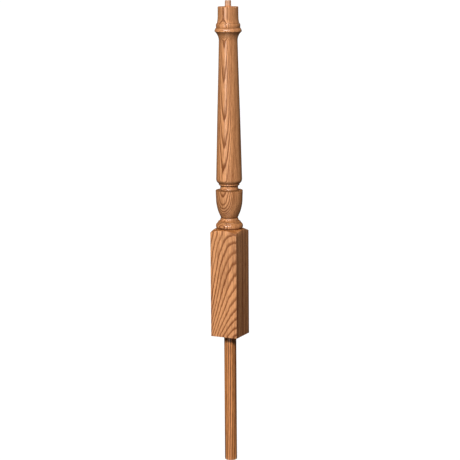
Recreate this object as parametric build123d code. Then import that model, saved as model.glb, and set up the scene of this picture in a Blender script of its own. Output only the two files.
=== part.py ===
from build123d import *
import math
import os

os.makedirs("parts", exist_ok=True)

# A stair volute newel post, in millimetres.
# The origin is the centre of the square block's underside, where the post lands on the tread.
# +Z runs up the post to the pin that holds the volute, and X and Y are square to the block's faces.
# The turning is a stack of members. Each has a radius at its foot and at its head, a height,
# and a bow: how far its side stands off a straight line, outwards when positive.

# Square block, left unturned
square_side = 88.9
square_height = 327.0
square_arris = 0.8

# Shoulder that the lathe leaves on top of the square, from the corner tips to the torus
shoulder_rise = 10.2
shoulder_bow = 0.9
shoulder_run_out = 3.0

# Torus at the foot of the turning
torus_foot_radius = 38.0
torus_head_radius = 37.6
torus_height = 17.4
torus_bow = 4.2

# Ovolo above the torus
ovolo_foot_radius = 36.6
ovolo_head_radius = 31.2
ovolo_height = 7.4
ovolo_bow = 1.1

# Astragal under the vase
astragal_foot_radius = 28.4
astragal_head_radius = 25.6
astragal_height = 9.4
astragal_bow = 0.9

# Vase: a straight stem, a round bowl and a nearly upright wall
stem_foot_radius = 26.0
stem_height = 15.0
bowl_foot_radius = 32.7
bowl_height = 46.0
bowl_bow = 2.1
wall_foot_radius = 41.0
wall_height = 24.0
lip_radius = 41.9

# Neck above the vase
neck_foot_radius = 31.0
neck_head_radius = 28.3
neck_height = 15.8
neck_bow = -2.1

# Bead under the shaft
bead_foot_radius = 30.8
bead_head_radius = 31.2
bead_height = 4.8
bead_bow = 1.1

# Shaft: a rounded foot, a long straight taper, and a length that draws in towards the cove
shaft_foot_radius = 31.6
shaft_foot_height = 15.8
shaft_foot_bow = 2.6
shaft_widest_radius = 39.9
taper_height = 207.0
taper_head_radius = 34.6
draw_height = 211.0
draw_bow = -0.25
shaft_head_radius = 28.7

# Cove under the top ring
cove_height = 30.8
cove_bow = -3.9

# Top ring
ring_radius = 41.5
ring_head_radius = 35.8
ring_height = 12.8
ring_bow = 1.2

# Band on the ring
band_foot_radius = 36.6
band_head_radius = 36.1
band_height = 11.2
band_bow = 0.8

# Flare and collar, up to the flat seat for the volute
flare_foot_radius = 34.3
flare_height = 22.2
flare_bow = -0.7
collar_foot_radius = 31.5
collar_head_radius = 31.2
collar_height = 28.6

# Sanded arrises on the turning's sharp edges
arris = 0.6

# Pin on top, turned from the same stick, with the mark of the lathe's centre in its end
pin_radius = 9.525
pin_length = 19.05
pin_chamfer_width = 1.4
pin_chamfer_height = 2.2
centre_mark_radius = 1.6
centre_mark_depth = 2.0

# Base dowel, a separate rod whose upper end is sized down to glue into a bore of its own radius
dowel_radius = 19.05
dowel_exposed_length = 404.0
dowel_buried_length = 76.2
dowel_chamfer = 1.0
glue_clearance = 0.25
glue_well = 0.5
drill_point_angle = 118


def turned_members():
    """Foot radius, head radius, height and bow of each member, from the block up to the pin."""
    corner_radius = square_side / 2 * math.sqrt(2)
    run_out_radius = corner_radius + shoulder_run_out
    run_out_drop = shoulder_run_out * shoulder_rise / (corner_radius - torus_foot_radius)
    return [
        (run_out_radius, run_out_radius, square_height - run_out_drop, 0),
        (run_out_radius, torus_foot_radius, run_out_drop + shoulder_rise, shoulder_bow),
        (torus_foot_radius, torus_head_radius, torus_height, torus_bow),
        (ovolo_foot_radius, ovolo_head_radius, ovolo_height, ovolo_bow),
        (astragal_foot_radius, astragal_head_radius, astragal_height, astragal_bow),
        (stem_foot_radius, bowl_foot_radius, stem_height, 0),
        (bowl_foot_radius, wall_foot_radius, bowl_height, bowl_bow),
        (wall_foot_radius, lip_radius, wall_height - arris, 0),
        (lip_radius, lip_radius - arris, arris, 0),
        (neck_foot_radius, neck_head_radius, neck_height, neck_bow),
        (bead_foot_radius, bead_head_radius, bead_height, bead_bow),
        (shaft_foot_radius, shaft_widest_radius, shaft_foot_height, shaft_foot_bow),
        (shaft_widest_radius, taper_head_radius, taper_height, 0),
        (taper_head_radius, shaft_head_radius, draw_height, draw_bow),
        (shaft_head_radius, ring_radius - arris, cove_height, cove_bow),
        (ring_radius - arris, ring_radius, arris, 0),
        (ring_radius, ring_head_radius, ring_height - arris, ring_bow),
        (band_foot_radius, band_head_radius, band_height, band_bow),
        (flare_foot_radius, collar_foot_radius, flare_height, flare_bow),
        (collar_foot_radius, collar_head_radius, collar_height - arris, 0),
        (collar_head_radius, collar_head_radius - arris, arris, 0),
        (pin_radius, pin_radius, pin_length - pin_chamfer_height, 0),
        (pin_radius, pin_radius - pin_chamfer_width, pin_chamfer_height, 0),
    ]


def member_side(foot, head, bow):
    """One member's side from foot to head, as an arc that leaves its chord by bow."""
    if bow == 0:
        return Line(foot, head)
    chord = head - foot
    outwards = Vector(chord.Y, -chord.X).normalized()
    return ThreePointArc(foot, (foot + head) / 2 + outwards * bow, head)


def lathe_outline():
    """Half of the post's section, with its flat underside, every member and the axis."""
    sides = []
    last = Vector(0, 0)
    height = 0
    for foot_radius, head_radius, rise, bow in turned_members():
        foot = Vector(foot_radius, height)
        height += rise
        head = Vector(head_radius, height)
        if (foot - last).length > 0:
            sides.append(Line(last, foot))
        sides.append(member_side(foot, head, bow))
        last = head
    mark_rim = Vector(centre_mark_radius, height)
    mark_tip = Vector(0, height - centre_mark_depth)
    sides += [Line(last, mark_rim), Line(mark_rim, mark_tip), Line(mark_tip, Vector(0, 0))]
    return make_face(Curve() + sides)


def square_blank():
    """The planed stick that the post is turned from, with sanded corners."""
    length = sum(rise for _, _, rise, _ in turned_members())
    return extrude(RectangleRounded(square_side, square_side, square_arris), length)


def dowel_bore():
    """The blind hole for the base dowel, with the drill's cone at its end."""
    bore_depth = dowel_buried_length + glue_well
    point_depth = dowel_radius / math.tan(math.radians(drill_point_angle / 2))
    bore = Pos(0, 0, bore_depth / 2) * Cylinder(dowel_radius, bore_depth)
    point = Pos(0, 0, bore_depth + point_depth / 2) * Cone(dowel_radius, 0, point_depth)
    return bore + point


def newel_post():
    """Square block, base moulding, vase, shaft, top ring and pin in one piece of wood."""
    turning = revolve(Plane.XZ * lathe_outline(), Axis.Z)
    return (square_blank() & turning) - dowel_bore()


def base_dowel():
    """The long round rod below the square and its sized end in the bore, with chamfered rims."""
    exposed = Pos(0, 0, -dowel_exposed_length / 2) * Cylinder(dowel_radius, dowel_exposed_length)
    buried_radius = dowel_radius - glue_clearance
    buried = Pos(0, 0, dowel_buried_length / 2) * Cylinder(buried_radius, dowel_buried_length)
    rod = exposed + buried
    rims = rod.edges().filter_by(GeomType.CIRCLE).sort_by(Axis.Z)
    return chamfer([rims[0], rims[-1]], dowel_chamfer)


export_step(newel_post(), "parts/newel_post.step")
export_step(base_dowel(), "parts/base_dowel.step")
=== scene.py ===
import math
import bpy
from mathutils import Matrix, Vector


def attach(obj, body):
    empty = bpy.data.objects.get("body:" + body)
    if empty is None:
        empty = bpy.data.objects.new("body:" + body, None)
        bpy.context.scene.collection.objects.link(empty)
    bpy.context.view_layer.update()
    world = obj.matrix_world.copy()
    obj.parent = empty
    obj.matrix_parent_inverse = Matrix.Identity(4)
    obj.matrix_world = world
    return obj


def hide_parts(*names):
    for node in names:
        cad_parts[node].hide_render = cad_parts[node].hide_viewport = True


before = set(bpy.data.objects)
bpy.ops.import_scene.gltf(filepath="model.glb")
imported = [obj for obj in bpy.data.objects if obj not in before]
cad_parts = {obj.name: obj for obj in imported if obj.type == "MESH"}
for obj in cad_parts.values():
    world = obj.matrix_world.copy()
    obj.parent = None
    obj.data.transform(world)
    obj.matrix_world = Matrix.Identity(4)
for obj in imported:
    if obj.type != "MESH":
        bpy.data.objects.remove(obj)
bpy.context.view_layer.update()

# Lengths below are in millimetres, in the part's own frame, and become metres in the meshes.
MM = 0.001

# Camera: the photograph's viewing angle, fitted to the block's corners and the turning's axis.
# Distances in mm, lens and sensor in mm.
CAMERA_LENS = 131.3
CAMERA_SENSOR = 36.0
CAMERA_DISTANCE = 5182.0
CAMERA_PITCH = math.radians(10.34)
CAMERA_AZIMUTH = math.radians(25.99)
CAMERA_ROLL = math.radians(-0.391)
CAMERA_AIM_SIDE = 1.54
CAMERA_AIM_HEIGHT = 331.3


def make_camera():
    """The camera at the photograph's place, looking a little down at the middle of the post."""
    side = Vector((math.cos(CAMERA_AZIMUTH), math.sin(CAMERA_AZIMUTH), 0))
    back = Vector((math.sin(CAMERA_AZIMUTH), -math.cos(CAMERA_AZIMUTH), 0))
    to_camera = back * math.cos(CAMERA_PITCH) + Vector((0, 0, math.sin(CAMERA_PITCH)))
    aim = side * CAMERA_AIM_SIDE + Vector((0, 0, CAMERA_AIM_HEIGHT))
    data = bpy.data.cameras.new("photo_camera")
    data.lens = CAMERA_LENS
    data.sensor_width = CAMERA_SENSOR
    data.clip_start = 0.1
    data.clip_end = 200
    camera = bpy.data.objects.new("photo_camera", data)
    bpy.context.scene.collection.objects.link(camera)
    turn = (-to_camera).to_track_quat("-Z", "Y").to_matrix().to_4x4()
    place = Matrix.Translation((aim + to_camera * CAMERA_DISTANCE) * MM)
    camera.matrix_world = place @ turn @ Matrix.Rotation(CAMERA_ROLL, 4, "Z")
    bpy.context.scene.camera = camera


make_camera()

# Named sizes of the post in mm, the same as in the part's source.
SQUARE_SIDE = 88.9
SQUARE_HEIGHT = 327.0
SQUARE_ARRIS = 0.8
SHOULDER_RISE = 10.2
SHOULDER_BOW = 0.9
SHOULDER_RUN_OUT = 3.0
TORUS_FOOT = 38.0
DOWEL_RADIUS = 19.05
DOWEL_EXPOSED = 404.0
DOWEL_BURIED = 76.2
DOWEL_CHAMFER = 1.0
GLUE_CLEARANCE = 0.25
GLUE_WELL = 0.5
DRILL_POINT = math.radians(118)
CENTRE_MARK_RADIUS = 1.6
CENTRE_MARK_DEPTH = 2.0
TURNING_FOOT = SQUARE_HEIGHT + SHOULDER_RISE

# The turned members above the shoulder: radius at the foot, radius at the head, height, bow.
MEMBERS = [
    (38.0, 37.6, 17.4, 4.2),
    (36.6, 31.2, 7.4, 1.1),
    (28.4, 25.6, 9.4, 0.9),
    (26.0, 32.7, 15.0, 0.0),
    (32.7, 41.0, 46.0, 2.1),
    (41.0, 41.9, 23.4, 0.0),
    (41.9, 41.3, 0.6, 0.0),
    (31.0, 28.3, 15.8, -2.1),
    (30.8, 31.2, 4.8, 1.1),
    (31.6, 39.9, 15.8, 2.6),
    (39.9, 34.6, 207.0, 0.0),
    (34.6, 28.7, 211.0, -0.25),
    (28.7, 40.9, 30.8, -3.9),
    (40.9, 41.5, 0.6, 0.0),
    (41.5, 35.8, 12.2, 1.2),
    (36.6, 36.1, 11.2, 0.8),
    (34.3, 31.5, 22.2, -0.7),
    (31.5, 31.2, 28.0, 0.0),
    (31.2, 30.6, 0.6, 0.0),
    (9.525, 9.525, 16.85, 0.0),
    (9.525, 8.125, 2.2, 0.0),
]

# How finely the meshes are cut: steps of an arc, mm between rows on a straight member, steps
# along each face and round each corner of the square, rows down the shoulder, the block and the
# dowel, and points round the dowel.
ARC_STEPS = 12
STRAIGHT_STEP = 12
FLAT_STEPS = 40
CORNER_STEPS = 4
SHOULDER_ARC_STEPS = 32
SHOULDER_ROWS = 14
BLOCK_ROWS = 24
DOWEL_ROWS = 24
DOWEL_AROUND = 128

# Edges: how far the turning's sharp corners are cut back in mm, at most as a share of the side
# beside them, and from what turn on; the bevel round the block's faces in mm; and the angle from
# which an edge is shaded as sharp.
EASE = 0.3
EASE_SHARE = 0.4
LEAST_EASED_TURN = math.radians(18)
EDGE_BEVEL = 0.3
SHARP = math.radians(38)


def arc(foot, head, bow, steps):
    """Points from foot to head on an arc that leaves its chord outwards by bow."""
    if bow == 0:
        return [foot.lerp(head, i / steps) for i in range(steps + 1)]
    chord = head - foot
    half = chord.length / 2
    out = Vector((chord.y, -chord.x)).normalized() * math.copysign(1, bow)
    rise = abs(bow)
    radius = (half * half + rise * rise) / (2 * rise)
    centre = (foot + head) / 2 - out * (radius - rise)
    reach = math.asin(min(1.0, half / radius))
    along = chord.normalized()
    points = []
    for i in range(steps + 1):
        angle = -reach + 2 * reach * i / steps
        points.append(centre + out * radius * math.cos(angle) + along * radius * math.sin(angle))
    points[0], points[-1] = foot, head
    return points


def turned_points():
    """The turning's outline from the shoulder's inner edge up to the rim of the pin's end."""
    points = []
    height = TURNING_FOOT
    for foot_radius, head_radius, rise, bow in MEMBERS:
        foot = Vector((foot_radius, height))
        height += rise
        head = Vector((head_radius, height))
        steps = ARC_STEPS if bow else max(1, round(rise / STRAIGHT_STEP))
        side = arc(foot, head, bow, steps)
        if points and (points[-1] - foot).length < 1e-6:
            side = side[1:]
        points += side
    return points


def eased(points):
    """The outline with each sharp corner cut back a little and rounded with three points."""
    out = [points[0]]
    for before, corner, after in zip(points, points[1:], points[2:]):
        into, away = corner - before, after - corner
        if into.length < 1e-9 or away.length < 1e-9 or into.angle(away) < LEAST_EASED_TURN:
            out.append(corner)
            continue
        cut = min(EASE, into.length * EASE_SHARE, away.length * EASE_SHARE)
        start = corner - into.normalized() * cut
        end = corner + away.normalized() * cut
        middle = start * 0.25 + corner * 0.5 + end * 0.25
        out += [start, middle, end]
    out.append(points[-1])
    return out


def square_outline():
    """The block's outline from above, anticlockwise, with points on its faces and round corners."""
    half, arris = SQUARE_SIDE / 2, SQUARE_ARRIS
    start_angle = math.atan2(half - arris, half)
    points = []
    for side in range(4):
        turn = Matrix.Rotation(side * math.pi / 2, 2)
        for i in range(FLAT_STEPS):
            angle = -start_angle + 2 * start_angle * i / FLAT_STEPS
            points.append(turn @ Vector((half, half * math.tan(angle))))
        for i in range(CORNER_STEPS):
            angle = math.pi / 2 * i / CORNER_STEPS
            offset = Vector((math.cos(angle), math.sin(angle))) * arris
            points.append(turn @ (Vector((half - arris, half - arris)) + offset))
    return points


def shoulder_points():
    """The shoulder's outline from the torus out to beyond the block's corners."""
    corner = SQUARE_SIDE / 2 * math.sqrt(2)
    drop_a_millimetre = SHOULDER_RISE / (corner - TORUS_FOOT)
    outer_height = SQUARE_HEIGHT - SHOULDER_RUN_OUT * drop_a_millimetre
    outer = Vector((corner + SHOULDER_RUN_OUT, outer_height))
    inner = Vector((TORUS_FOOT, TURNING_FOOT))
    return list(reversed(arc(outer, inner, SHOULDER_BOW, SHOULDER_ARC_STEPS)))


def height_on(outline, radius):
    """The height of a shoulder outline, given from the inside outwards, at a radius."""
    for a, b in zip(outline, outline[1:]):
        if a.x <= radius <= b.x:
            return a.y + (b.y - a.y) * (radius - a.x) / (b.x - a.x)
    return outline[-1].y


def grid_mesh(name, rows):
    """A closed mesh from rows of points round the axis, where a row of one point is an end."""
    vertices, faces, starts = [], [], []
    for row in rows:
        starts.append(len(vertices))
        vertices += [tuple(p * MM) for p in row]
    for i in range(len(rows) - 1):
        a, b = rows[i], rows[i + 1]
        n = max(len(a), len(b))
        for j in range(n):
            k = (j + 1) % n
            if len(a) == 1:
                faces.append((starts[i], starts[i + 1] + j, starts[i + 1] + k))
            elif len(b) == 1:
                faces.append((starts[i] + j, starts[i + 1], starts[i] + k))
            else:
                faces.append((starts[i] + j, starts[i + 1] + j, starts[i + 1] + k, starts[i] + k))
    mesh = bpy.data.meshes.new(name)
    mesh.from_pydata(vertices, [], faces)
    mesh.validate()
    mesh.update()
    mesh.shade_smooth()
    mesh.set_sharp_from_angle(angle=SHARP)
    made = bpy.data.objects.new(name, mesh)
    bpy.context.scene.collection.objects.link(made)
    return made


def ring_row(directions, radius, height):
    """A row of points at one radius and height, one for each direction round the axis."""
    return [Vector((d.x * radius, d.y * radius, height)) for d in directions]


def make_post():
    """The turned post as one mesh: pin, turning, cut shoulder, square block and dowel bore."""
    outline = square_outline()
    directions = [p.normalized() for p in outline]
    reach = [p.length for p in outline]
    turned = eased(turned_points())
    top = turned[-1]
    rows = [[Vector((0, 0, top.y - CENTRE_MARK_DEPTH))]]
    rows.append(ring_row(directions, CENTRE_MARK_RADIUS, top.y))
    rows.append(ring_row(directions, (CENTRE_MARK_RADIUS + top.x) / 2, top.y))
    for point in reversed(turned):
        rows.append(ring_row(directions, point.x, point.y))
    # Shoulder: each spoke runs down the turned slope until it leaves the square.
    shoulder = shoulder_points()
    for i in range(1, SHOULDER_ROWS + 1):
        row = []
        for d, r in zip(directions, reach):
            radius = TORUS_FOOT + (r - EDGE_BEVEL - TORUS_FOOT) * i / SHOULDER_ROWS
            row.append(Vector((d.x * radius, d.y * radius, height_on(shoulder, radius))))
        rows.append(row)
    # Block: from its arched upper edge straight down the four faces.
    edge = [height_on(shoulder, r) - EDGE_BEVEL for r in reach]
    rows.append([Vector((p.x, p.y, z)) for p, z in zip(outline, edge)])
    for i in range(1, BLOCK_ROWS + 1):
        level = [EDGE_BEVEL + (z - EDGE_BEVEL) * (1 - i / BLOCK_ROWS) for z in edge]
        rows.append([Vector((p.x, p.y, z)) for p, z in zip(outline, level)])
    # Underside in to the bore, then up the bore to the drill's point.
    rows.append([
        Vector((d.x * (r - EDGE_BEVEL), d.y * (r - EDGE_BEVEL), 0))
        for d, r in zip(directions, reach)
    ])
    for share in (0.66, 0.33, 0.0):
        rows.append([
            Vector((d.x, d.y, 0)) * (DOWEL_RADIUS + (r - DOWEL_RADIUS) * share)
            for d, r in zip(directions, reach)
        ])
    bore_end = DOWEL_BURIED + GLUE_WELL
    for share in (0.25, 0.5, 0.75, 1.0):
        rows.append(ring_row(directions, DOWEL_RADIUS, bore_end * share))
    point_depth = DOWEL_RADIUS / math.tan(DRILL_POINT / 2)
    rows.append([Vector((0, 0, bore_end + point_depth))])
    return grid_mesh("turned_post", rows)


def make_dowel():
    """The base dowel as one mesh, from its sized end in the bore down to its chamfered foot."""
    angles = [2 * math.pi * i / DOWEL_AROUND for i in range(DOWEL_AROUND)]
    directions = [Vector((math.cos(angle), math.sin(angle))) for angle in angles]
    buried = DOWEL_RADIUS - GLUE_CLEARANCE
    side = [
        (buried - DOWEL_CHAMFER, DOWEL_BURIED),
        (buried, DOWEL_BURIED - DOWEL_CHAMFER),
        (buried, 0.0),
        (DOWEL_RADIUS, 0.0),
    ]
    foot_edge = DOWEL_CHAMFER - DOWEL_EXPOSED
    side += [(DOWEL_RADIUS, foot_edge * i / DOWEL_ROWS) for i in range(1, DOWEL_ROWS + 1)]
    side += [(DOWEL_RADIUS - DOWEL_CHAMFER, -DOWEL_EXPOSED)]
    side += [((DOWEL_RADIUS - DOWEL_CHAMFER) * 0.5, -DOWEL_EXPOSED)]
    rows = [[Vector((0, 0, DOWEL_BURIED))]]
    rows += [ring_row(directions, radius, height) for radius, height in side]
    rows.append([Vector((0, 0, -DOWEL_EXPOSED))])
    return grid_mesh("turned_dowel", rows)


class Graph:
    """Adds nodes to a material or world and links them, with short names for what it needs."""

    def __init__(self, owner):
        owner.use_nodes = True
        self.tree = owner.node_tree
        self.tree.nodes.clear()

    def node(self, kind, values=(), **settings):
        made = self.tree.nodes.new(kind)
        for key, value in settings.items():
            setattr(made, key, value)
        for key, value in dict(values).items():
            self.feed(made.inputs[key], value)
        return made

    def feed(self, socket, value):
        """Links an output to a socket, or sets the socket to a plain value."""
        if hasattr(value, "is_output"):
            self.tree.links.new(value, socket)
        elif value is not None:
            socket.default_value = value

    def math(self, operation, a, b=None, clamp=False):
        made = self.node("ShaderNodeMath", operation=operation, use_clamp=clamp)
        for socket, value in zip(made.inputs, (a, b)):
            self.feed(socket, value)
        return made.outputs[0]

    def add(self, a, b):
        return self.math("ADD", a, b)

    def sub(self, a, b):
        return self.math("SUBTRACT", a, b)

    def mul(self, a, b):
        return self.math("MULTIPLY", a, b)

    def step(self, value, start, end, low=0.0, high=1.0, smooth=True):
        """Value mapped from start..end to low..high, held level outside."""
        kind = "SMOOTHSTEP" if smooth else "LINEAR"
        made = self.node("ShaderNodeMapRange", interpolation_type=kind, clamp=True)
        for socket, v in zip(made.inputs, (value, start, end, low, high)):
            self.feed(socket, v)
        return made.outputs[0]

    def scaled(self, vector, factors):
        made = self.node("ShaderNodeVectorMath", operation="MULTIPLY")
        self.feed(made.inputs[0], vector)
        self.feed(made.inputs[1], factors)
        return made.outputs[0]

    def split(self, vector):
        made = self.node("ShaderNodeSeparateXYZ")
        self.feed(made.inputs[0], vector)
        return made.outputs

    def join(self, x, y, z):
        made = self.node("ShaderNodeCombineXYZ")
        for socket, value in zip(made.inputs, (x, y, z)):
            self.feed(socket, value)
        return made.outputs[0]

    def noise(self, vector, detail=2.0, roughness=0.5):
        """Noise about 0, between about -0.5 and 0.5, one bump a unit of the vector."""
        made = self.node("ShaderNodeTexNoise", {
            "Vector": vector, "Scale": 1.0, "Detail": detail, "Roughness": roughness,
        })
        return self.sub(made.outputs["Fac"], 0.5)

    def line_noise(self, value, detail):
        """Noise along one number, about 0."""
        values = {"W": value, "Scale": 1.0, "Detail": detail}
        made = self.node("ShaderNodeTexNoise", values, noise_dimensions="1D")
        return self.sub(made.outputs["Fac"], 0.5)

    def chance(self, value):
        """A fixed random number from 0 to 1 for each whole value."""
        made = self.node("ShaderNodeTexWhiteNoise", {"W": value}, noise_dimensions="1D")
        return made.outputs["Value"]

    def curve(self, value, points):
        """A smooth curve through (value, result) points, level beyond its ends."""
        xs, ys = [p[0] for p in points], [p[1] for p in points]
        low, high = min(ys), max(ys)
        place = self.step(value, xs[0], xs[-1], smooth=False)
        made = self.node("ShaderNodeFloatCurve", {"Value": place})
        line = made.mapping.curves[0]
        for i, (x, y) in enumerate(points):
            u, v = (x - xs[0]) / (xs[-1] - xs[0]), (y - low) / (high - low)
            if i == 0:
                line.points[0].location = (u, v)
            elif i == len(points) - 1:
                line.points[len(line.points) - 1].location = (u, v)
            else:
                line.points.new(u, v)
        made.mapping.update()
        return self.step(made.outputs[0], 0.0, 1.0, low, high, smooth=False)

    def mix(self, factor, a, b):
        made = self.node("ShaderNodeMix", data_type="RGBA")
        self.feed(made.inputs["Factor"], factor)
        self.feed(made.inputs[6], a)
        self.feed(made.inputs[7], b)
        return made.outputs[2]

    def tint(self, colour, value, saturation):
        made = self.node("ShaderNodeHueSaturation", {
            "Saturation": saturation, "Value": value, "Color": colour,
        })
        return made.outputs[0]

    def finish(self, kind, shader):
        """Links a shader to a new output node."""
        self.tree.links.new(shader, self.node(kind).inputs["Surface"])


# The wood between the ring lines and in them, a paler tint painted on towards the stick's top as
# painted light, and the pin's wood, which has hardly any stain.
LIGHT_WOOD = (0.825, 0.374, 0.155, 1)
DARK_WOOD = (0.15, 0.032, 0.0045, 1)
DOWEL_LIGHT = (0.72, 0.283, 0.094, 1)
DOWEL_DARK = (0.07, 0.017, 0.003, 1)
TOP_LIGHT_TINT = (0.92, 0.46, 0.21, 1)
BARE_WOOD = (0.62, 0.42, 0.30, 1)

# Dark and pale layers of the block, from its front to its back: y in mm and share of dark, set
# after the streaks on the face that the photo shows on the right. They wander by up to about
# half of the drift, in mm.
LAYER_DRIFT = 9.0
BLOCK_LAYERS = [
    (-43.0, 0.0), (-38.0, 0.55), (-28.0, 0.10), (-17.0, 0.0), (-8.0, 0.05), (-2.0, 0.60),
    (5.0, 0.15), (12.0, 0.0), (20.0, 0.42), (29.0, 0.0), (39.0, 0.50), (45.0, 0.20),
]

# The rings lie round a pith line behind the post, and each zone of the stick has a stretch of that
# line. A scratch program fitted the zones at 165, 425, 640 and 1000 mm to the photo's ring lines,
# and its figures were rounded. The zone at 845 mm, the seams and the dowel's zone were set one by
# one. middle, reach: the height that the zone is set for, in mm, and how far above and below it the
# line goes on bending, in 100 mm.
#   side, back: the line's x and y at the middle, in mm, and how each changes with the height over
#     the middle in 100 mm, with its square and with its cube.
#   spacing: mm from ring to ring. tighten: what the square of the distance from the reference
#     ring adds to the count. The reference ring runs through the front face at the middle.
#   shift: the count at the reference ring.
POST_ZONES = [
    dict(middle=165, reach=1.6, side=(58.7, -3.9, -3.1, -0.8), back=(220.0, 7.7, -0.1, 0.8),
         spacing=3.02, tighten=-0.001, shift=0.11),
    dict(middle=425, reach=0.6, side=(11.4, -14.6, 0.0, 0.0), back=(219.2, 4.1, -0.9, 0.0),
         spacing=2.23, tighten=0.005, shift=6.06),
    dict(middle=640, reach=1.5, side=(-7.6, -1.8, 5.8, 0.0), back=(150.0, 5.5, -0.2, -0.1),
         spacing=1.775, tighten=0.0075, shift=11.64),
    dict(middle=845, reach=1.0, side=(0.0, -5.0, 0.0, 0.0), back=(192.0, 4.5, 0.0, 0.0),
         spacing=1.9, tighten=0.0, shift=16.77),
    dict(middle=1000, reach=1.0, side=(7.7, -14.6, 0.0, 0.0), back=(236.3, 2.0, -1.8, 0.0),
         spacing=2.18, tighten=0.0053, shift=18.09),
]
# Heights in mm between which the rings of one zone pass into those of the next.
POST_SEAMS = [(337.0, 380.0), (456.0, 482.0), (740.0, 785.0), (945.0, 962.0)]
DOWEL_ZONES = [
    dict(middle=-200, reach=2.1, side=(-180.0, 1.3, -0.3, 0.0), back=(-88.0, 0.0, 0.0, 0.0),
         spacing=7.2, tighten=0.0, shift=0.07),
]
# Distance of the block's front face from the axis, and the place inside the reference ring from
# which the tightening stays level, both in mm.
FRONT_FACE = 44
TIGHTEN_REACH = -14.0

# How far the rings wander and kink, as a count of rings.
POST_WAVER = 0.5
DOWEL_WAVER = 0.15
RIPPLE = 0.22

# Noises of the grain: bumps for each mm across the stick, twice, and along it.
GRAIN = dict(
    waver=(0.05, 0.05, 0.012),
    ripple=(0.3, 0.3, 0.04),
    fibre=(1.1, 1.1, 0.018),
    streak=(0.22, 0.22, 0.006),
    broad=(0.06, 0.06, 0.004),
    dash=(0.42, 0.42, 0.05),
    layer=(0.012, 0.06, 0.0015),
    pore=(2.6, 2.6, 0.13),
    drift=(0.01, 0.01, 0.006),
)
BANDS_A_RING = 0.21
RAYS_A_RADIAN = 320.0
RAY_ALONG = 0.07
RAY_DEEP = 0.05

# Share of dark in a ring line, in the wood between the lines, and what each noise adds to it.
LINE_DARK = 0.92
BASE_DARK = 0.17
TONES = dict(fibre=0.5, streak=1.6, broad=0.25, band=0.6, dash=1.05, layer=0.5)
PORE_DARK = 0.5
RAY_DARK = 0.15

# Painted shade in each groove of the turning and under its mouldings, and two wide stretches of it
# that are darker and dull: height and reach up and down in mm, and depth of the shade.
GROOVE_SHADE = [
    (340.0, 3.0, 0.60),
    (358.5, 6.5, 0.25),
    (372.0, 4.0, 0.45),
    (412.0, 70.0, 0.10),
    (362.0, 24.0, 0.09),
    (458.0, 4.0, 0.65),
    (472.2, 2.5, 0.40),
    (483.0, 5.0, 0.30),
    (952.5, 2.5, 0.35),
    (967.0, 2.5, 0.30),
]


def pith_place(g, line, t, square, cube):
    """The pith line's x or y, from its start and its bends with t, its square and its cube."""
    start, slope, bend, twist = line
    return g.add(g.add(g.mul(t, slope), g.mul(square, bend)), g.add(g.mul(cube, twist), start))


def ring_count(g, place, zone):
    """A zone's ring count, bearing from the pith and depth beyond the reference ring."""
    x, y, z = g.split(place)
    t = g.mul(g.sub(z, float(zone["middle"])), 0.01)
    t = g.math("MINIMUM", g.math("MAXIMUM", t, -zone["reach"]), zone["reach"])
    square = g.mul(t, t)
    cube = g.mul(square, t)
    side, back = zone["side"], zone["back"]
    from_x = g.sub(x, pith_place(g, side, t, square, cube))
    from_y = g.sub(y, pith_place(g, back, t, square, cube))
    distance = g.math("SQRT", g.add(g.mul(from_x, from_x), g.mul(from_y, from_y)))
    beyond = g.sub(distance, math.hypot(side[0], back[0] + FRONT_FACE))
    near = g.math("MAXIMUM", beyond, TIGHTEN_REACH)
    tightening = g.mul(g.mul(near, near), zone["tighten"])
    count = g.add(g.add(g.mul(beyond, 1 / zone["spacing"]), tightening), zone["shift"])
    bearing = g.math("ARCTAN2", from_x, g.mul(from_y, -1.0))
    return count, bearing, beyond


def all_rings(g, place, z, zones, seams):
    """Ring count, bearing and depth for the whole stick, blended from zone to zone."""
    values = ring_count(g, place, zones[0])
    for zone, (low, high) in zip(zones[1:], seams):
        share = g.step(z, low, high)
        values = [
            g.add(value, g.mul(g.sub(new, value), share))
            for value, new in zip(values, ring_count(g, place, zone))
        ]
    return values


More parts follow.
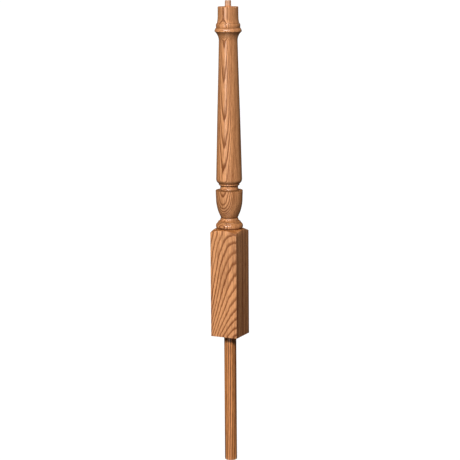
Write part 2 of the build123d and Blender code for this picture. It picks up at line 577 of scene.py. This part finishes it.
def oak(name, zones, seams, waver_rings, shade_bands, layers, light, dark):
    """Oak as a solid: rings round a pith line, pores, rays and fibre, which the surface cuts."""
    material = bpy.data.materials.new(name)
    g = Graph(material)
    coordinates = g.node("ShaderNodeTexCoord")
    place = g.scaled(coordinates.outputs["Object"], (1000.0, 1000.0, 1000.0))
    x, y, z = g.split(place)

    def grain(kind, detail=2.0, roughness=0.5):
        return g.noise(g.scaled(place, GRAIN[kind]), detail, roughness)

    count, bearing, beyond = all_rings(g, place, z, zones, seams)
    waver = g.mul(grain("waver", 3.0), waver_rings)
    count = g.add(count, g.add(waver, g.mul(grain("ripple"), RIPPLE)))
    # Each ring starts with a dark porous line and fades outwards into dense pale wood.
    place_in_ring = g.math("FRACT", count)
    strength = g.step(g.chance(g.math("FLOOR", count)), 0.0, 1.0, 0.75, 1.0, smooth=False)
    line = g.mul(g.step(place_in_ring, 0.0, 0.12), g.step(place_in_ring, 0.18, 0.58, 1.0, 0.0))
    line = g.mul(line, strength)
    # Pores: short dark dashes, thick in the porous line and thin elsewhere.
    pore = g.mul(g.step(grain("pore", 1.0), 0.06, 0.16), g.step(line, 0.0, 0.6, 0.25, 1.0))
    # Rays: thin plates that point at the pith.
    ray = g.join(g.mul(bearing, RAYS_A_RADIAN), g.mul(z, RAY_ALONG), g.mul(beyond, RAY_DEEP))
    ray = g.step(g.noise(ray, 1.0), 0.14, 0.24)
    # Tone: fibre, streaks, broad clouds, groups of darker rings, dashes and layers.
    fibre = grain("fibre", 3.0, 0.6)
    noises = dict(
        fibre=fibre,
        streak=grain("streak", 3.0, 0.65),
        broad=grain("broad"),
        band=g.line_noise(g.mul(count, BANDS_A_RING), 2.0),
        dash=grain("dash", 2.0, 0.6),
        layer=grain("layer", 2.0, 0.6),
    )
    tone = 0.0
    for kind, noise in noises.items():
        tone = g.add(tone, g.mul(noise, TONES[kind]))
    colour = g.mix(g.mul(line, LINE_DARK), light, dark)
    colour = g.mix(g.math("ADD", tone, BASE_DARK, clamp=True), colour, dark)
    if layers:
        # The block has its layers, painted shade towards its foot and painted light near its top.
        depth = g.curve(g.add(y, g.mul(grain("drift"), LAYER_DRIFT)), layers)
        colour = g.mix(g.mul(depth, g.step(z, 330.0, 345.0, 1.0, 0.0)), colour, dark)
        colour = g.mix(g.step(z, 0.0, 250.0, 0.14, 0.0), colour, dark)
        painted_top_light = g.mul(g.step(z, 130.0, 300.0), g.step(z, 325.0, 340.0, 0.12, 0.0))
        colour = g.mix(painted_top_light, colour, TOP_LIGHT_TINT)
    # Painted light makes the turning a little paler towards its top, and the pin has hardly any
    # stain.
    colour = g.mix(g.step(z, 300.0, 1000.0, 0.0, 0.12, smooth=False), colour, TOP_LIGHT_TINT)
    colour = g.mix(g.step(z, 1018.0, 1021.0, 0.0, 0.5), colour, BARE_WOOD)
    colour = g.mix(g.mul(pore, PORE_DARK), colour, dark)
    colour = g.mix(g.mul(ray, RAY_DARK), colour, dark)
    # End grain takes up more finish and is a little darker; each groove and underside of the
    # turning gets painted shade, and the block's long corners a painted dark edge.
    facing = g.split(coordinates.outputs["Normal"])[2]
    end_grain = g.step(g.math("ABSOLUTE", facing), 0.35, 1.0)
    shade = g.sub(1.0, g.mul(end_grain, 0.09))
    shine = 1.0
    # Painted shade in each groove and under the mouldings, which also takes away their shine.
    for height, reach, depth in shade_bands:
        near = g.step(g.math("ABSOLUTE", g.sub(z, height)), 0.0, reach, depth, 0.0)
        shade = g.sub(shade, near)
        shine = g.sub(shine, near)
    # Painted shade: a dark edge along the block's long corners.
    corner = g.math("MINIMUM", g.math("ABSOLUTE", x), g.math("ABSOLUTE", y))
    shade = g.sub(shade, g.step(corner, 41.5, 44.4, 0.0, 0.28))
    colour = g.tint(colour, shade, g.add(1.0, g.mul(end_grain, 0.06)))
    # Pores and ring lines lie a little lower than the fibre, and are rougher and duller.
    relief = g.add(g.mul(pore, -0.6), g.add(g.mul(line, -0.25), g.mul(fibre, 0.35)))
    bump = g.node("ShaderNodeBump", {"Strength": 0.35, "Distance": 0.00025, "Height": relief})
    open_grain = g.add(g.mul(line, 0.12), g.add(g.mul(pore, 0.15), g.mul(fibre, 0.2)))
    roughness = g.step(open_grain, -0.2, 0.5, 0.20, 0.40)
    sheen = g.step(g.math("MAXIMUM", line, pore), 0.1, 0.9, 0.5, 0.12)
    sheen = g.mul(sheen, g.math("POWER", g.math("MAXIMUM", shine, 0.0), 3.0))
    shader = g.node("ShaderNodeBsdfPrincipled", {
        "Base Color": colour, "Roughness": roughness, "Normal": bump.outputs[0],
        "Specular IOR Level": sheen,
    })
    g.finish("ShaderNodeOutputMaterial", shader.outputs[0])
    return material


post = make_post()
dowel = make_dowel()
for piece, node, slot in ((post, "newel_post", "turned_oak"), (dowel, "base_dowel", "dowel_oak")):
    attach(piece, "root")
    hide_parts(node)

post_oak = oak("turned_oak_grain", POST_ZONES, POST_SEAMS, POST_WAVER, GROOVE_SHADE, BLOCK_LAYERS,
               LIGHT_WOOD, DARK_WOOD)
dowel_oak = oak("dowel_oak_grain", DOWEL_ZONES, [], DOWEL_WAVER, [], [], DOWEL_LIGHT, DOWEL_DARK)
post.data.materials.append(post_oak)
dowel.data.materials.append(dowel_oak)

# Studio, in metres: a white floor and background for the camera and the reflections, a dim world,
# three soft lamps in front and one behind. The dark cards and the tall narrow softbox are seen by
# reflections alone, and give the dark sides and the pale streak on the turning.
FLOOR_HEIGHT = -404.2 * MM
FLOOR_HALF = 100.0
FLOOR_TONE = 0.12
FLOOR_GLOW = 0.94
WORLD_LEVEL = 0.05
CARD_TONE = 0.03
CARD_DISTANCE = 3.0
CARD_LIFT = 0.004
CARD_LEVELS = (0.0, 1.0, 2.0, 3.5)
CARD_FIRST, CARD_LAST, CARD_STEPS = math.radians(18), math.radians(310), 30
SOFTBOX_LEFT, SOFTBOX_RIGHT = math.radians(-37), math.radians(-23)
SOFTBOX_DISTANCE = 2.5
SOFTBOX_LOW, SOFTBOX_HIGH = 0.55, 1.3
SOFTBOX_STRENGTH = 8.0
LAMP_DISTANCE = 6.0

# Lamps: name, azimuth from the camera's to the right and elevation in degrees, level, softness in
# degrees, and whether reflections see it.
LAMPS = [
    ("key_left", -34, 37, 0.42, 12, True),
    ("key_middle", -14, 37, 0.42, 12, True),
    ("key_right", 6, 37, 0.42, 12, True),
    ("rear", 180, 18, 0.8, 30, False),
]


def round_post(azimuth, distance, height):
    """A place round the post. Its azimuth is taken from the camera's, to the right."""
    angle = CAMERA_AZIMUTH + azimuth
    return Vector((distance * math.sin(angle), -distance * math.cos(angle), height))


def background_share(g):
    """1 for rays that should see the plain background: camera, glossy and transmission rays."""
    path = g.node("ShaderNodeLightPath")
    seen = g.math("MAXIMUM", path.outputs["Is Camera Ray"], path.outputs["Is Glossy Ray"])
    return g.math("MAXIMUM", seen, path.outputs["Is Transmission Ray"])


def matt(g, tone):
    return g.node("ShaderNodeBsdfDiffuse", {"Color": (tone, tone, tone, 1)}).outputs[0]


def glow(g, strength):
    return g.node("ShaderNodeEmission", {"Color": (1, 1, 1, 1), "Strength": strength}).outputs[0]


def studio_mesh(name, vertices, faces, material_name, make_shader):
    """A mesh of the studio, with one material that make_shader builds."""
    mesh = bpy.data.meshes.new(name)
    mesh.from_pydata([tuple(v) for v in vertices], [], faces)
    made = bpy.data.objects.new(name, mesh)
    bpy.context.scene.collection.objects.link(made)
    material = bpy.data.materials.new(material_name)
    g = Graph(material)
    g.finish("ShaderNodeOutputMaterial", make_shader(g))
    mesh.materials.append(material)
    return made


def reflections_only(made):
    made.visible_camera = False
    made.visible_diffuse = False
    made.visible_shadow = False
    made.visible_transmission = False


def make_world():
    """White for the camera and reflections, and dim for the light on the object."""
    world = bpy.data.worlds.new("studio")
    bpy.context.scene.world = world
    g = Graph(world)
    strength = g.step(background_share(g), 0.0, 1.0, WORLD_LEVEL, 1.0, smooth=False)
    ground = g.node("ShaderNodeBackground", {"Color": (1, 1, 1, 1), "Strength": strength})
    g.finish("ShaderNodeOutputWorld", ground.outputs[0])


def floor_white(g):
    """Matt, so that it takes the post's shadow, with a glow that lights nothing."""
    both = g.node("ShaderNodeAddShader")
    g.feed(both.inputs[0], matt(g, FLOOR_TONE))
    g.feed(both.inputs[1], glow(g, g.mul(background_share(g), FLOOR_GLOW)))
    return both.outputs[0]


def make_floor():
    sides = [(-1, -1), (1, -1), (1, 1), (-1, 1)]
    corners = [(FLOOR_HALF * a, FLOOR_HALF * b, FLOOR_HEIGHT) for a, b in sides]
    floor = studio_mesh("floor", corners, [(0, 1, 2, 3)], "floor_white", floor_white)


def make_cards():
    """Dark cards round the back and the sides, and on the ground, fanned out from the post."""
    ground = FLOOR_HEIGHT + CARD_LIFT
    vertices, faces = [(0, 0, ground)], []
    for i in range(CARD_STEPS + 1):
        azimuth = CARD_FIRST + (CARD_LAST - CARD_FIRST) * i / CARD_STEPS
        vertices += [round_post(azimuth, CARD_DISTANCE, ground + level) for level in CARD_LEVELS]
    n = len(CARD_LEVELS)
    for i in range(CARD_STEPS):
        a = 1 + i * n
        faces.append((0, a, a + n))
        faces += [(a + j, a + n + j, a + n + j + 1, a + j + 1) for j in range(n - 1)]
    cards = studio_mesh("dark_cards", vertices, faces, "card_black", lambda g: matt(g, CARD_TONE))
    reflections_only(cards)


def make_softbox():
    vertices = [
        round_post(azimuth, SOFTBOX_DISTANCE, level)
        for azimuth in (SOFTBOX_LEFT, SOFTBOX_RIGHT)
        for level in (SOFTBOX_LOW, SOFTBOX_HIGH)
    ]
    softbox = studio_mesh("sheen_softbox", vertices, [(0, 1, 3, 2)], "softbox_white",
                          lambda g: glow(g, SOFTBOX_STRENGTH))
    reflections_only(softbox)


def make_lamp(name, azimuth, elevation, level, softness, glossy):
    """A far, soft lamp that lights a face square to it to its level."""
    rise = math.radians(elevation)
    to_lamp = round_post(math.radians(azimuth), math.cos(rise), math.sin(rise))
    data = bpy.data.lights.new(name, "SUN")
    data.energy = level * math.pi
    data.angle = math.radians(softness)
    lamp = bpy.data.objects.new(name, data)
    lamp.rotation_mode = "QUATERNION"
    lamp.rotation_quaternion = (-to_lamp).to_track_quat("-Z", "Y")
    lamp.location = to_lamp * LAMP_DISTANCE
    lamp.visible_glossy = glossy
    bpy.context.scene.collection.objects.link(lamp)


make_world()
make_floor()
make_cards()
make_softbox()
for lamp_settings in LAMPS:
    make_lamp(*lamp_settings)

bpy.context.scene.view_settings.view_transform = "Standard"
